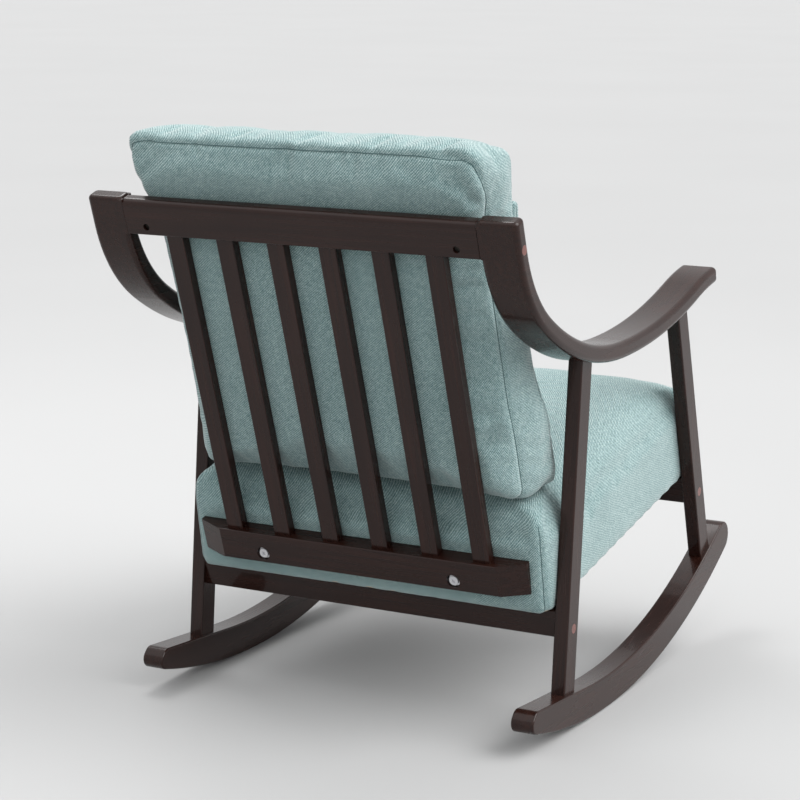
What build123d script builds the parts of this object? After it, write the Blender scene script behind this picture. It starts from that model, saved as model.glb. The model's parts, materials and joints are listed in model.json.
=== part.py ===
"""Rocking chair: two bent-board side frames on rockers, a slatted back, a boxed seat and two loose cushions.

Millimetres, +Z up. The chair faces -Y, so the sitter's left is +X.
The origin is on the floor, under the middle of the chair's outline.
"""

from build123d import *

import os
from math import cos, radians, sin

# ------------------------------------------------------------ driving dimensions

# side frames: rocker, legs and arm share one upright middle plane on each side
side_x = 307.0  # from the chair's middle to the middle of a side frame
arm_width = 60.0
arm_thickness = 26.0
arm_edge_round = 8.0
arm_end_round = 6.0
leg_thickness = 22.0  # across the chair
leg_depth = 36.0  # fore and aft
leg_edge_round = 2.5
rear_leg_lean = 5.35  # from upright, foot backward
front_leg_lean = -16.7  # from upright, foot forward
rocker_width = 35.0
rocker_height = 49.0
rocker_radius = 948.0  # of the edge that rolls on the floor
rocker_edge_round = 2.5
rocker_contact_y = 64.0  # where the rocker meets the floor at rest
rocker_rear_angle = 17.1  # from the contact point back to the tail, about the arc's centre
rocker_front_angle = 30.3
rocker_even_angle = 4.8  # how far back the rocker keeps its full height
tail_straight = 179.0  # the straight top edge from there to the tail
tail_round = 14.0

# arm: straight beside the top rail, then bends of (radius, degrees); a negative angle bends upward
arm_top_above_rail = 3.0
arm_straight = 47.0
arm_bends = [(200.0, -40.0), (490.0, -32.0), (950.0, -17.6), (450.0, 10.0)]

# seat: a tilted block, placed by its lower rear edge
seat_rear_y = 219.0
seat_rear_z = 174.0
seat_tilt = 10.5
seat_width = 588.0
seat_depth = 552.0
seat_height = 148.0
seat_top_round = 30.0
seat_corner_round = 22.0
seat_bottom_round = 6.0
cover_thickness = 2.0
soft_gap = 0.4  # between a cover and what it holds
seat_frame_height = 66.0
seat_frame_board = 30.0
corner_block_leg = 60.0
webbing_width = 50.0
webbing_thickness = 1.5
webbing_across = 6
webbing_along = 5
dust_cover_thickness = 1.0
dust_cover_overlap = 12.0
dust_cover_gap = 8.0  # from a stretcher

# stretchers under the seat, at the height of the legs' bolts
stretcher_height = 42.0
stretcher_thickness = 24.0
stretcher_edge_round = 2.0
rear_stretcher_inset = 32.0  # from the seat's rear edge to the stretcher's middle
front_stretcher_inset = 24.0  # from the seat's front edge to the stretcher's middle
rear_bolt_drop = 30.0  # from the seat's underside to the bolts in the rear legs
front_bolt_drop = 24.0

# back: rails and slats lie in one leaning plane behind the seat
back_lean = 18.0
lower_rail_up = 56.0  # the lower rail's middle above the seat's underside
lower_rail_depth = 24.0  # from its rear face to the seat, at its middle
lower_rail_height = 50.0
lower_rail_half_length = 271.0
lower_rail_bevel_length = 42.0
lower_rail_bevel_depth = 18.0
rail_edge_round = 2.0
top_rail_thickness = 26.0
top_rail_height = 52.0
top_rail_round = 9.0
rail_to_rail = 482.0  # clear height between the two rails
slat_count = 6
slat_pitch = 82.0
slat_width = 27.0
slat_thickness = 16.0
slat_setback = 7.0  # from the rails' rear face
slat_edge_round = 1.5
tenon_length = 14.0
tenon_width = 19.0
tenon_thickness = 9.0
joint_gap = 0.1  # between a tenon and its mortise

# loose cushions
cushion_width = 540.0
cushion_thickness = 125.0
cushion_top = 662.0  # its rear edge, up the back from the lower rail's middle
cushion_top_fall = 45.0  # from its rear edge to its front edge
cushion_round = 30.0
cushion_core_thickness = 36.0  # thickness of the foam slab in its middle
pillow_width = 480.0
pillow_height = 430.0
pillow_thickness = 105.0
pillow_top_fall = 0.0
pillow_round = 38.0
pillow_core_thickness = 30.0
cushion_clearance = 0.8  # between soft parts and what they lie on

# bolts of the side frames, their barrel nuts and the plugs over their heads
bolt_radius = 3.0
bolt_head_radius = 5.0
bolt_head_height = 4.0
bolt_past_barrel = 8.0
bolt_clearance = 0.3
arm_bolt_up = 0.24  # up the top rail, as a share of its height
plug_radius = 7.0
plug_thickness = 4.0
barrel_radius = 5.0
barrel_length = 16.0
barrel_gap = 0.05
barrel_inset = 33.0  # from the end of the rail or stretcher that holds it

# bolts from the lower rail into the seat
seat_bolt_share = 0.27  # of the seat width, from the middle to a bolt
seat_bolt_up = 47.0  # above the seat's underside
seat_bolt_radius = 4.0
seat_bolt_length = 60.0
seat_bolt_head_radius = 7.0
seat_bolt_head_height = 4.5
seat_bolt_key = 5.0  # across the flats of its socket
seat_bolt_key_depth = 2.5
seat_bolt_web = 15.0  # wood left under the washer
recess_radius = 10.5
washer_radius = 9.5
washer_thickness = 1.6
t_nut_flange_radius = 11.0
t_nut_flange_thickness = 1.5
t_nut_barrel_radius = 5.5
t_nut_barrel_length = 10.0

# screws up through the stretchers into the seat, and dowels at the ends of the legs
seat_screw_x = 190.0
seat_screw_radius = 2.5
seat_screw_head_radius = 5.0
seat_screw_head_height = 3.0
seat_screw_length = 62.0
dowel_radius = 4.0
dowel_length = 32.0
dowel_spacing = 17.0

# ------------------------------------------------------------ planes and derived places

tilt = radians(seat_tilt)
lean = radians(back_lean)
lean_past_seat = lean - tilt

# On the seat plane, x runs across, y backward from the seat's rear edge and z up through the seat.
seat = Plane(
    origin=(0, seat_rear_y, seat_rear_z), x_dir=(1, 0, 0), z_dir=(0, sin(tilt), cos(tilt))
)
seat_upward = Axis(seat.origin, seat.z_dir)
# On the back plane, x runs across, y up the back and z forward from the rails' rear face.
back = Plane(
    origin=seat.from_local_coords(Vector(0, lower_rail_depth, lower_rail_up)),
    x_dir=(1, 0, 0),
    z_dir=(0, -cos(lean), sin(lean)),
)

sides = {"left": 1, "right": -1}
arm_inner_x = side_x - arm_width / 2
leg_inner_x = side_x - leg_thickness / 2
cover_inside = cover_thickness + soft_gap
deck_up = cover_inside + seat_frame_height
webbing_top = deck_up + 2 * webbing_thickness
stretcher_up = -stretcher_height / 2
seat_bolt_x = seat_bolt_share * seat_width
rear_stretcher_y = -rear_stretcher_inset
front_stretcher_y = front_stretcher_inset - seat_depth
top_rail_bottom = lower_rail_height / 2 + rail_to_rail
top_rail_top = top_rail_bottom + top_rail_height
arm_top = top_rail_top + arm_top_above_rail
arm_bolt_height = top_rail_bottom + arm_bolt_up * top_rail_height
slat_middle = slat_setback + slat_thickness / 2
slat_xs = [slat_pitch * (i - (slat_count - 1) / 2) for i in range(slat_count)]
leg_reach = seat_rear_z + arm_top  # longer than any leg


def on_back(x, up, forward):
    """A point given across, up the back and forward from the rails' rear face."""
    return back.from_local_coords(Vector(x, up, forward))


def on_seat(x, backward, up):
    """A point given across, backward from the seat's rear edge and up from its underside."""
    return seat.from_local_coords(Vector(x, backward, up))


def forward_to_seat(up):
    """How far in front of the rails' rear face the seat's rear face lies, at a height up the back."""
    return (lower_rail_depth + up * sin(lean_past_seat)) / cos(lean_past_seat)


def up_to_seat(height, forward):
    """How far up the back a height above the seat's underside lies, at a distance forward."""
    return (height - lower_rail_up - forward * sin(lean_past_seat)) / cos(lean_past_seat)


def side_plane(x):
    """The upright plane at x, with its local x backward and its local y up."""
    return Plane(origin=(x, 0, 0), x_dir=(0, 1, 0), z_dir=(1, 0, 0))


def leg_plane(x, stretcher_y, leg_lean):
    """The plane across a leg where its stretcher's bolt passes; z runs up the leg."""
    slope = radians(leg_lean)
    return Plane(
        origin=on_seat(x, stretcher_y, stretcher_up),
        x_dir=(1, 0, 0),
        z_dir=(0, -sin(slope), cos(slope)),
    )


leg_places = {
    f"{end}_leg_{side}": leg_plane(sign * side_x, stretcher_y, leg_lean)
    for side, sign in sides.items()
    for end, stretcher_y, leg_lean in (
        ("front", front_stretcher_y, front_leg_lean),
        ("rear", rear_stretcher_y, rear_leg_lean),
    )
}


# ------------------------------------------------------------ rockers and arms


def rocker(x):
    """A runner of even height between two arcs, with a full-round front end and a thinner tail."""
    centre = (rocker_contact_y, rocker_radius)
    start = 270 - rocker_front_angle
    with BuildPart() as runner:
        with BuildSketch(side_plane(x)) as outline:
            with BuildLine():
                floor_arc = CenterArc(
                    centre, rocker_radius, start, rocker_front_angle + rocker_rear_angle
                )
                top_arc = CenterArc(
                    centre,
                    rocker_radius - rocker_height,
                    start,
                    rocker_front_angle + rocker_even_angle,
                )
                tail_top = Line(top_arc @ 1, top_arc @ 1 + tail_straight * (top_arc % 1))
                Line(tail_top @ 1, floor_arc @ 1)
                JernArc(floor_arc @ 0, -(floor_arc % 0), rocker_height / 2, -180)
            make_face()
            fillet(outline.vertices().sort_by(Axis.X)[-2:], tail_round)
        extrude(amount=rocker_width / 2, both=True)
        fillet(runner.faces().filter_by(Axis.X).edges(), rocker_edge_round)
    return runner.part


def arm_board(x, edge_round):
    """A board of the arm's section, swept from the top of the back to the arm's front end."""
    depth = top_rail_thickness - arm_thickness / 2
    top = on_back(0, arm_top, depth)
    bend_start = on_back(0, arm_top - arm_straight, depth)
    with BuildPart() as board:
        with BuildLine(side_plane(x)) as path:
            piece = Line((top.Y, top.Z), (bend_start.Y, bend_start.Z))
            for radius, angle in arm_bends:
                piece = JernArc(piece @ 1, piece % 1, radius, angle)
        with BuildSketch(Plane(origin=path.line @ 0, x_dir=(1, 0, 0), z_dir=path.line % 0)):
            RectangleRounded(arm_width, arm_thickness, edge_round)
        sweep()
    return board.part


def arm(x):
    """The arm: its long edges are rounded, but stay square where the top rail butts against them."""
    inner_edge = arm_inner_x if x > 0 else -arm_inner_x
    with BuildPart() as rounded:
        add(arm_board(x, arm_edge_round))
        fillet(rounded.faces().filter_by(GeomType.PLANE).sort_by(Axis.Y)[0].edges(), arm_end_round)
        fillet(rounded.faces().filter_by(GeomType.PLANE).sort_by(Axis.Z)[-1].edges(), arm_end_round)
    with BuildPart() as beside_rail:
        add(arm_board(x, slat_edge_round))
        with BuildSketch(back):
            with Locations((inner_edge, (top_rail_bottom + top_rail_top) / 2)):
                Rectangle(2 * arm_edge_round, top_rail_height)
        extrude(amount=2 * top_rail_thickness, both=True, mode=Mode.INTERSECT)
    with BuildPart() as whole:
        add(rounded.part)
        add(beside_rail.part)
    return whole.part


rockers = {side: rocker(sign * side_x) for side, sign in sides.items()}
arms = {side: arm(sign * side_x) for side, sign in sides.items()}

# ------------------------------------------------------------ legs and their dowels


def leg(place, side):
    """A straight leg, coped to the rocker below it and the arm above it."""
    with BuildPart() as blank:
        with BuildSketch(place):
            RectangleRounded(leg_thickness, leg_depth, leg_edge_round)
        extrude(amount=leg_reach, both=True)
        add(rockers[side], mode=Mode.SUBTRACT)
        add(arms[side], mode=Mode.SUBTRACT)
    with BuildPart() as coped:
        add(blank.solids().filter_by(lambda piece: piece.is_inside(place.origin))[0])
    return coped.part


legs = {name: leg(place, name.split("_")[-1]) for name, place in leg_places.items()}


def dowel_pair(end_face, place):
    """Two dowels half in a leg and half in the arm or rocker that it meets."""
    with BuildPart() as pair:
        with BuildSketch(Plane(origin=end_face.center(), x_dir=(1, 0, 0), z_dir=place.z_dir)):
            with GridLocations(dowel_spacing, dowel_spacing, 1, 2):
                Circle(dowel_radius)
        extrude(amount=dowel_length / 2, both=True)
    return pair.part


with BuildPart() as leg_dowels:
    for name, place in leg_places.items():
        ends = legs[name].faces().sort_by(Axis(place.origin, place.z_dir))
        add(dowel_pair(ends[0], place))
        add(dowel_pair(ends[-1], place))

# ------------------------------------------------------------ bolts, barrel nuts and plugs


def along_x(point, sign):
    """A plane at a point, looking outward from the chair's middle on one side."""
    return Plane(origin=point, x_dir=(0, 1, 0), z_dir=(sign, 0, 0))


def bolt_between(outer_x, inner_x, clearance):
    """A bolt along x from under its plug to just past its barrel nut, at the origin's height."""
    head_top = outer_x - plug_thickness
    head_under = head_top - bolt_head_height
    tip = inner_x - barrel_inset - bolt_past_barrel
    with BuildPart() as bolt:
        with BuildSketch(Plane.YZ.offset(tip - clearance)):
            Circle(bolt_radius + clearance)
        extrude(amount=head_under - tip + clearance)
        with BuildSketch(Plane.YZ.offset(head_under)):
            Circle(bolt_head_radius + clearance)
        extrude(amount=bolt_head_height)
    return bolt.part


arm_bolt_point = on_back(0, arm_bolt_height, top_rail_thickness / 2)
stretcher_bolt_points = [
    on_seat(0, rear_stretcher_y, -rear_bolt_drop),
    on_seat(0, front_stretcher_y, -front_bolt_drop),
]


def place_on_both_sides(piece, points):
    """Copies of a piece that points along +x, at each point and mirrored to the other side."""
    with BuildPart() as copies:
        with Locations(*points):
            add(piece)
        mirror(about=Plane.YZ)
    return copies.part


arm_outer_x = side_x + arm_width / 2
leg_outer_x = side_x + leg_thickness / 2
arm_bolts = place_on_both_sides(bolt_between(arm_outer_x, arm_inner_x, 0), [arm_bolt_point])
arm_bolt_holes = place_on_both_sides(
    bolt_between(arm_outer_x, arm_inner_x, bolt_clearance), [arm_bolt_point]
)
stretcher_bolts = place_on_both_sides(bolt_between(leg_outer_x, leg_inner_x, 0), stretcher_bolt_points)
stretcher_bolt_holes = place_on_both_sides(
    bolt_between(leg_outer_x, leg_inner_x, bolt_clearance), stretcher_bolt_points
)


def plug_blanks(outer_x, points):
    """Plugs that still stand proud of the wood, over the bolts at these points."""
    with BuildPart() as blank:
        with BuildSketch(Plane.YZ.offset(outer_x - plug_thickness)):
            Circle(plug_radius)
        extrude(amount=2 * plug_thickness)
    return place_on_both_sides(blank.part, points)


with BuildPart() as bolt_plugs:
    add(plug_blanks(arm_outer_x, [arm_bolt_point]))
    add(plug_blanks(leg_outer_x, stretcher_bolt_points))
    with BuildPart(mode=Mode.PRIVATE) as wood_round_plugs:
        add(list(arms.values()))
        add(list(legs.values()))
    add(wood_round_plugs.part, mode=Mode.INTERSECT)


def bars(places, start, end, radius):
    """Round bars along z of each place, from start to end."""
    with BuildPart() as copies:
        for place in places:
            with BuildSketch(place.offset(start)):
                Circle(radius)
            extrude(amount=end - start)
    return copies.part


def less(piece, *cutters):
    """A piece with other shapes cut from it."""
    with BuildPart() as cut:
        add(piece)
        for cutter in cutters:
            add(cutter, mode=Mode.SUBTRACT)
    return cut.part


# Each place is on the bolt's line, with z pointing from the hole's mouth to its end.
rail_barrel_places = [
    Plane(
        origin=on_back(sign * (arm_inner_x - barrel_inset), arm_bolt_height, top_rail_thickness / 2),
        z_dir=back.z_dir,
    )
    for sign in sides.values()
]
stretcher_barrel_places = [
    Plane(origin=on_seat(sign * (leg_inner_x - barrel_inset), y, -drop), z_dir=seat.z_dir)
    for sign in sides.values()
    for y, drop in ((rear_stretcher_y, rear_bolt_drop), (front_stretcher_y, front_bolt_drop))
]
barrel_end = barrel_length / 2
barrel_hole_radius = barrel_radius + barrel_gap
rail_barrel_nuts = less(bars(rail_barrel_places, -barrel_end, barrel_end, barrel_radius), arm_bolts)
rail_barrel_holes = bars(rail_barrel_places, -top_rail_thickness, barrel_end, barrel_hole_radius)
stretcher_barrel_nuts = less(
    bars(stretcher_barrel_places, -barrel_end, barrel_end, barrel_radius), stretcher_bolts
)
stretcher_barrel_holes = bars(
    stretcher_barrel_places, -stretcher_height, barrel_end, barrel_hole_radius
)

# ------------------------------------------------------------ seat bolts, washers, T-nuts and screws

seat_bolt_places = [
    Plane(origin=on_seat(x, seat_bolt_web, seat_bolt_up), x_dir=(1, 0, 0), z_dir=seat.y_dir)
    for x in (-seat_bolt_x, seat_bolt_x)
]


seat_bolt_tip = washer_thickness - seat_bolt_length
with BuildPart() as seat_bolts:
    add(bars(seat_bolt_places, seat_bolt_tip, washer_thickness, seat_bolt_radius))
    head_top = washer_thickness + seat_bolt_head_height
    add(bars(seat_bolt_places, washer_thickness, head_top, seat_bolt_head_radius))
    for place in seat_bolt_places:
        with BuildSketch(place.offset(head_top)):
            RegularPolygon(seat_bolt_key / 2, 6, major_radius=False)
        extrude(amount=-seat_bolt_key_depth, mode=Mode.SUBTRACT)

with BuildPart() as seat_bolt_washers:
    add(bars(seat_bolt_places, 0, washer_thickness, washer_radius))
    add(
        bars(seat_bolt_places, 0, washer_thickness, seat_bolt_radius + bolt_clearance),
        mode=Mode.SUBTRACT,
    )

t_nut_face = -seat_bolt_web - cover_inside - seat_frame_board
with BuildPart() as seat_t_nuts:
    add(bars(seat_bolt_places, t_nut_face - t_nut_flange_thickness, t_nut_face, t_nut_flange_radius))
    add(bars(seat_bolt_places, t_nut_face, t_nut_face + t_nut_barrel_length, t_nut_barrel_radius))
    add(seat_bolts.part, mode=Mode.SUBTRACT)

rear_screw_y = (rear_stretcher_y + stretcher_thickness / 2 - cover_inside - seat_frame_board) / 2
front_screw_y = (front_stretcher_y - stretcher_thickness / 2) / 2 + (
    cover_inside + seat_frame_board - seat_depth
) / 2
seat_screw_places = [
    Plane(origin=on_seat(x, y, -stretcher_height), x_dir=(1, 0, 0), z_dir=seat.z_dir)
    for x in (-seat_screw_x, seat_screw_x)
    for y in (rear_screw_y, front_screw_y)
]
with BuildPart() as seat_screws:
    add(bars(seat_screw_places, 0, seat_screw_head_height, seat_screw_head_radius))
    add(bars(seat_screw_places, 0, seat_screw_length, seat_screw_radius))
with BuildPart() as seat_screw_holes:
    add(bars(seat_screw_places, 0, seat_screw_head_height, seat_screw_head_radius + bolt_clearance))
    screw_hole_end = stretcher_height + cover_thickness
    add(bars(seat_screw_places, 0, screw_hole_end, seat_screw_radius + bolt_clearance))

# ------------------------------------------------------------ back: rails and slats


def slat_blank(x, gap):
    """A slat with a tenon at each end; a gap makes the tenons larger, to cut the mortises."""
    with BuildPart() as slat:
        with BuildSketch(back.offset(slat_middle)):
            with Locations((x, (lower_rail_height + rail_to_rail) / 2)):
                Rectangle(slat_width, rail_to_rail)
        extrude(amount=slat_thickness / 2, both=True)
        fillet(slat.edges().filter_by(Axis(back.origin, back.y_dir)), slat_edge_round)
        with BuildSketch(back.offset(slat_middle)):
            with Locations((x, (lower_rail_height + rail_to_rail) / 2)):
                Rectangle(tenon_width + 2 * gap, rail_to_rail + 2 * (tenon_length + gap))
        extrude(amount=tenon_thickness / 2 + gap, both=True)
    return slat.part


slats = {f"slat_{i + 1}": slat_blank(x, 0) for i, x in enumerate(slat_xs)}
with BuildPart() as mortises:
    for x in slat_xs:
        add(slat_blank(x, joint_gap))

with BuildPart() as top_rail:
    with BuildSketch(back):
        with Locations((0, (top_rail_bottom + top_rail_top) / 2)):
            Rectangle(2 * arm_inner_x, top_rail_height)
    extrude(amount=top_rail_thickness)
    long_edges = top_rail.edges().filter_by(Axis.X).group_by(Axis(back.origin, back.y_dir))
    fillet(long_edges[-1], top_rail_round)
    fillet(top_rail.edges().filter_by(Axis.X).group_by(Axis(back.origin, back.y_dir))[0], rail_edge_round)
    for cutter in (mortises.part, arm_bolt_holes, rail_barrel_holes):
        add(cutter, mode=Mode.SUBTRACT)

with BuildPart() as lower_back_rail:
    low = -lower_rail_height / 2
    high = lower_rail_height / 2
    corners = [
        on_back(0, low, 0),
        on_back(0, high, 0),
        on_back(0, high, forward_to_seat(high)),
        on_back(0, low, forward_to_seat(low)),
    ]
    with BuildSketch(side_plane(0)):
        with BuildLine():
            Polyline([(corner.Y, corner.Z) for corner in corners], close=True)
        make_face()
    extrude(amount=lower_rail_half_length, both=True)
    bevel_start = lower_rail_half_length - lower_rail_bevel_length
    with BuildSketch(Plane(origin=on_back(0, low, 0), x_dir=(1, 0, 0), z_dir=back.y_dir)):
        with BuildLine():
            Polyline(
                (bevel_start, 0),
                (lower_rail_half_length, 0),
                (lower_rail_half_length, -lower_rail_bevel_depth),
                close=True,
            )
        make_face()
        mirror(about=Plane.YZ)
    extrude(amount=lower_rail_height, mode=Mode.SUBTRACT)
    rear_edges = lower_back_rail.faces().sort_by(Axis(back.origin, back.z_dir))[0].edges()
    fillet(rear_edges.filter_by(Axis.X), rail_edge_round)
    add(mortises.part, mode=Mode.SUBTRACT)
    add(bars(seat_bolt_places, 0, lower_rail_depth, recess_radius), mode=Mode.SUBTRACT)
    bolt_hole_radius = seat_bolt_radius + bolt_clearance
    add(bars(seat_bolt_places, -lower_rail_depth, lower_rail_depth, bolt_hole_radius), mode=Mode.SUBTRACT)

# ------------------------------------------------------------ stretchers


def stretcher(y):
    """A bar between the legs, under the seat."""
    with BuildPart() as bar:
        with BuildSketch(Plane(origin=on_seat(0, y, stretcher_up), x_dir=seat.y_dir, z_dir=(1, 0, 0))):
            RectangleRounded(stretcher_thickness, stretcher_height, stretcher_edge_round)
        extrude(amount=leg_inner_x, both=True)
        for cutter in (stretcher_bolt_holes, stretcher_barrel_holes, seat_screw_holes.part):
            add(cutter, mode=Mode.SUBTRACT)
    return bar.part


# ------------------------------------------------------------ seat


def seat_block(inset):
    """The upholstered block, smaller all round by an inset."""
    with BuildPart() as block:
        with BuildSketch(seat.offset(inset)):
            with Locations((0, -seat_depth / 2)):
                RectangleRounded(
                    seat_width - 2 * inset, seat_depth - 2 * inset, seat_corner_round - inset
                )
        extrude(amount=seat_height - 2 * inset)
        fillet(block.faces().sort_by(seat_upward)[-1].edges(), seat_top_round - inset)
        fillet(block.faces().sort_by(seat_upward)[0].edges(), seat_bottom_round - inset)
    return block.part


opening_rear = rear_stretcher_inset + stretcher_thickness / 2 + dust_cover_gap + dust_cover_overlap
opening_front = front_stretcher_inset + stretcher_thickness / 2 + dust_cover_gap + dust_cover_overlap
opening_depth = seat_depth - opening_rear - opening_front
opening_width = seat_width - 2 * opening_front
opening_y = (opening_front - opening_rear - seat_depth) / 2
seat_bolt_passage = bars(
    seat_bolt_places, seat_bolt_tip, seat_bolt_web, seat_bolt_radius + bolt_clearance
)

with BuildPart() as seat_cover:
    add(seat_block(0))
    add(seat_block(cover_thickness), mode=Mode.SUBTRACT)
    with BuildSketch(seat):
        with Locations((0, opening_y)):
            Rectangle(opening_width, opening_depth)
    extrude(amount=seat_frame_height / 2, mode=Mode.SUBTRACT)
    add(seat_bolt_passage, mode=Mode.SUBTRACT)
    add(seat_screw_holes.part, mode=Mode.SUBTRACT)

with BuildPart() as seat_dust_cover:
    with BuildSketch(seat):
        with Locations((0, opening_y)):
            Rectangle(opening_width + 2 * dust_cover_overlap, opening_depth + 2 * dust_cover_overlap)
    extrude(amount=-dust_cover_thickness)

block_inside_cover = seat_block(cover_inside)
with BuildPart() as seat_foam:
    add(block_inside_cover)
    with BuildSketch(seat.offset(webbing_top)):
        with Locations((0, -seat_depth / 2)):
            Rectangle(seat_width, seat_depth)
    extrude(amount=-webbing_top, mode=Mode.SUBTRACT)

board_middle = cover_inside + seat_frame_board / 2
rail_run = seat_depth - 2 * (cover_inside + seat_frame_board)


def seat_rail(x, y, width, depth, cutters):
    """One board of the seat's frame, rounded at its corners to the block's outline."""
    with BuildPart() as rail:
        with BuildSketch(seat.offset(cover_inside)):
            with Locations((x, y)):
                Rectangle(width, depth)
        extrude(amount=seat_frame_height)
        add(block_inside_cover, mode=Mode.INTERSECT)
        for cutter in cutters:
            add(cutter, mode=Mode.SUBTRACT)
    return rail.part


t_nut_bodies = bars(seat_bolt_places, t_nut_face, t_nut_face + t_nut_barrel_length, t_nut_barrel_radius)
screw_shanks = seat_screws.part
side_board_x = seat_width / 2 - board_middle
seat_rails = {
    "seat_rail_rear": seat_rail(
        0, -board_middle, seat_width, seat_frame_board, [seat_bolt_passage, t_nut_bodies, screw_shanks]
    ),
    "seat_rail_front": seat_rail(
        0, board_middle - seat_depth, seat_width, seat_frame_board, [screw_shanks]
    ),
    "seat_rail_left": seat_rail(side_board_x, -seat_depth / 2, seat_frame_board, rail_run, []),
    "seat_rail_right": seat_rail(-side_board_x, -seat_depth / 2, seat_frame_board, rail_run, []),
}

seat_middle = Plane(
    origin=on_seat(0, -seat_depth / 2, cover_inside), x_dir=(1, 0, 0), z_dir=seat.z_dir
)
with BuildPart() as seat_corner_blocks:
    inner_x = side_board_x - seat_frame_board / 2
    inner_y = rail_run / 2
    with BuildSketch(seat_middle):
        with BuildLine():
            Polyline(
                (inner_x, inner_y),
                (inner_x - corner_block_leg, inner_y),
                (inner_x, inner_y - corner_block_leg),
                close=True,
            )
        make_face()
        mirror(about=Plane.YZ)
        mirror(about=Plane.XZ)
    extrude(amount=seat_frame_height)

with BuildPart() as seat_webbing:
    strap_span_x = seat_width - 2 * cover_inside - seat_frame_board
    strap_span_y = seat_depth - 2 * cover_inside - seat_frame_board
    with BuildSketch(seat.offset(deck_up)):
        with Locations((0, -seat_depth / 2)):
            with GridLocations(1, rail_run / webbing_across, 1, webbing_across):
                Rectangle(strap_span_x, webbing_width)
    extrude(amount=webbing_thickness)
    with BuildSketch(seat.offset(deck_up + webbing_thickness)):
        with Locations((0, -seat_depth / 2)):
            with GridLocations(2 * side_board_x / webbing_along, 1, webbing_along, 1):
                Rectangle(webbing_width, strap_span_y)
    extrude(amount=webbing_thickness)

# ------------------------------------------------------------ loose cushions


def leaning_cushion(width, rear, thickness, top, top_fall, edge_round, inset):
    """A pad that stands on the seat and leans with the back, smaller all round by an inset."""
    seat_surface = seat_height + cushion_clearance
    near = rear + inset
    far = rear + thickness - inset
    corners = [
        on_back(0, up_to_seat(seat_surface, near) + inset, near),
        on_back(0, top - inset, near),
        on_back(0, top - top_fall - inset, far),
        on_back(0, up_to_seat(seat_surface, far) + inset, far),
    ]
    with BuildPart() as pad:
        with BuildSketch(side_plane(0)):
            with BuildLine():
                Polyline([(corner.Y, corner.Z) for corner in corners], close=True)
            make_face()
        extrude(amount=width / 2 - inset, both=True)
        fillet(pad.edges(), edge_round - inset)
    return pad.part


def cushion_cover(*sizes):
    """The cover: the outer shape with the filling's space taken out."""
    with BuildPart() as cover:
        add(leaning_cushion(*sizes, 0))
        add(leaning_cushion(*sizes, cover_thickness), mode=Mode.SUBTRACT)
    return cover.part


def cushion_core(core_thickness, width, rear, thickness, *shape):
    """The foam slab in the middle of a cushion, as wide and high as its cover allows."""
    with BuildPart() as core:
        add(leaning_cushion(width, rear, thickness, *shape, cover_inside))
        with BuildSketch(back.offset(rear + thickness / 2)):
            Rectangle(2 * width, 4 * cushion_top)
        extrude(amount=core_thickness / 2, both=True, mode=Mode.INTERSECT)
    return core.part


cushion_rear = top_rail_thickness + cushion_clearance
pillow_rear = cushion_rear + cushion_thickness + cushion_clearance
pillow_top = up_to_seat(seat_height, pillow_rear) + pillow_height
back_cushion = (
    cushion_width,
    cushion_rear,
    cushion_thickness,
    cushion_top,
    cushion_top_fall,
    cushion_round,
)
throw_pillow = (
    pillow_width,
    pillow_rear,
    pillow_thickness,
    pillow_top,
    pillow_top_fall,
    pillow_round,
)

# ------------------------------------------------------------ write every piece

wood = (0.13, 0.07, 0.06)
fabric = (0.42, 0.62, 0.61)
filling = (0.92, 0.9, 0.84)
steel = (0.72, 0.72, 0.74)
plug_wood = (0.45, 0.16, 0.1)
dark_cloth = (0.12, 0.12, 0.12)


pieces = {}
for side in sides:
    pieces[f"rocker_{side}"] = (less(rockers[side], leg_dowels.part), wood)
    pieces[f"arm_{side}"] = (less(arms[side], leg_dowels.part, arm_bolt_holes, bolt_plugs.part), wood)
for name, blank in legs.items():
    pieces[name] = (less(blank, leg_dowels.part, stretcher_bolt_holes, bolt_plugs.part), wood)
for name, blank in slats.items():
    pieces[name] = (blank, wood)
for name, board in seat_rails.items():
    pieces[name] = (board, filling)
pieces.update(
    {
        "top_rail": (top_rail.part, wood),
        "lower_back_rail": (lower_back_rail.part, wood),
        "rear_stretcher": (stretcher(rear_stretcher_y), wood),
        "front_stretcher": (stretcher(front_stretcher_y), wood),
        "leg_dowels": (leg_dowels.part, filling),
        "bolt_plugs": (bolt_plugs.part, plug_wood),
        "arm_bolts": (arm_bolts, steel),
        "stretcher_bolts": (stretcher_bolts, steel),
        "rail_barrel_nuts": (rail_barrel_nuts, steel),
        "stretcher_barrel_nuts": (stretcher_barrel_nuts, steel),
        "seat_bolts": (seat_bolts.part, steel),
        "seat_bolt_washers": (seat_bolt_washers.part, steel),
        "seat_t_nuts": (seat_t_nuts.part, steel),
        "seat_screws": (seat_screws.part, steel),
        "seat_corner_blocks": (seat_corner_blocks.part, filling),
        "seat_webbing": (seat_webbing.part, dark_cloth),
        "seat_foam": (seat_foam.part, filling),
        "seat_cover": (seat_cover.part, fabric),
        "seat_dust_cover": (seat_dust_cover.part, dark_cloth),
        "back_cushion_cover": (cushion_cover(*back_cushion), fabric),
        "back_cushion_core": (cushion_core(cushion_core_thickness, *back_cushion), filling),
        "throw_pillow_cover": (cushion_cover(*throw_pillow), fabric),
        "throw_pillow_core": (cushion_core(pillow_core_thickness, *throw_pillow), filling),
    }
)

os.makedirs("parts", exist_ok=True)
for name, (piece, colour) in pieces.items():
    piece.label = name
    piece.color = Color(*colour)
    export_step(piece, f"parts/{name}.step")
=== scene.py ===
# %% [markdown]
# # A rocking chair, piece by piece
# The wooden frame of this chair comes ready made from a imported CAD model, because wood is cut to
# exact sizes. Cloth is different: it swells, puckers and sags, so the upholstery is shaped here.
# We load the model first.

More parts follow.
